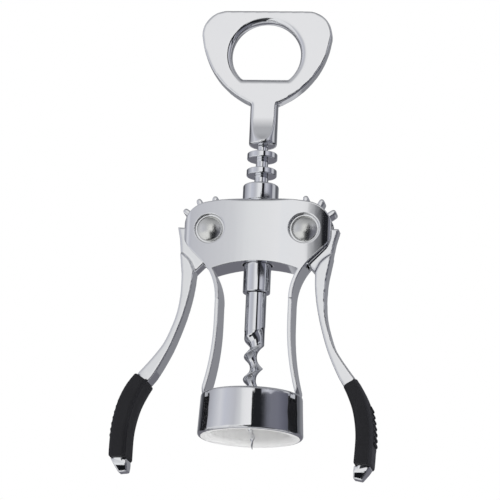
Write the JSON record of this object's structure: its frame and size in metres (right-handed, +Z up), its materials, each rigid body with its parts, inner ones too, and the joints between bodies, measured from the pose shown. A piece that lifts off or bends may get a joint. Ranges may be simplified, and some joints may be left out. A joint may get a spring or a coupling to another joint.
{
  "type": "wing corkscrew",
  "caption": "Wing corkscrew: bell frame with a geared ringed spindle, worm, two curved levers with black grips, and a flat cap-opener handle.",
  "frame": {"origin": "centre of the bell's rim on the spindle axis, where the tool sits on a bottle", "axes": "+Z up along the spindle to the handle, levers swing in the XZ plane, front towards -Y"},
  "size_m": [0.1013, 0.04, 0.186],
  "materials": {
    "casting_chrome": "bright chrome plating on a zinc die casting",
    "spindle_chrome": "bright chrome plating on turned steel",
    "rivet_nickel": "satin nickel-plated steel",
    "worm_steel": "polished plated steel",
    "grip_rubber": "matt soft-touch black rubber",
    "liner_plastic": "light grey moulded plastic"
  },
  "bodies": {
    "frame": {"frame_casting": "casting_chrome", "guide_collar": "spindle_chrome", "bell_liner": "liner_plastic", "pivot_pin_left": "rivet_nickel", "pivot_pin_right": "rivet_nickel", "rear_cap_left": "rivet_nickel", "rear_cap_right": "rivet_nickel"},
    "rack": {"rack_sleeve": "spindle_chrome"},
    "spindle": {"opener_handle": "casting_chrome", "worm": "worm_steel"},
    "left_lever": {"lever_left": "casting_chrome", "grip_left": "grip_rubber"},
    "right_lever": {"lever_right": "casting_chrome", "grip_right": "grip_rubber"}
  },
  "joints": [
    {"name": "rack_slide", "type": "slide", "parent": "frame", "child": "rack", "axis": [0, 0, 1], "range_m": [-0.032, 0.0005]},
    {"name": "spindle_turn", "type": "hinge", "parent": "rack", "child": "spindle", "pos_m": [0, 0, 0.1], "axis": [0, 0, 1], "continuous": true},
    {"name": "left_lever_swing", "type": "hinge", "parent": "frame", "child": "left_lever", "pos_m": [-0.01825, 0, 0.0803], "axis": [0, 1, 0], "range_deg": [-2.5, 139.5]},
    {"name": "right_lever_swing", "type": "hinge", "parent": "frame", "child": "right_lever", "pos_m": [0.01825, 0, 0.0803], "axis": [0, -1, 0], "range_deg": [-2.5, 139.5]}
  ],
  "couplings": [
    {"joint": "left_lever_swing", "follows": "rack_slide", "rad_per_m": -75.758},
    {"joint": "right_lever_swing", "follows": "rack_slide", "rad_per_m": -75.758}
  ]
}
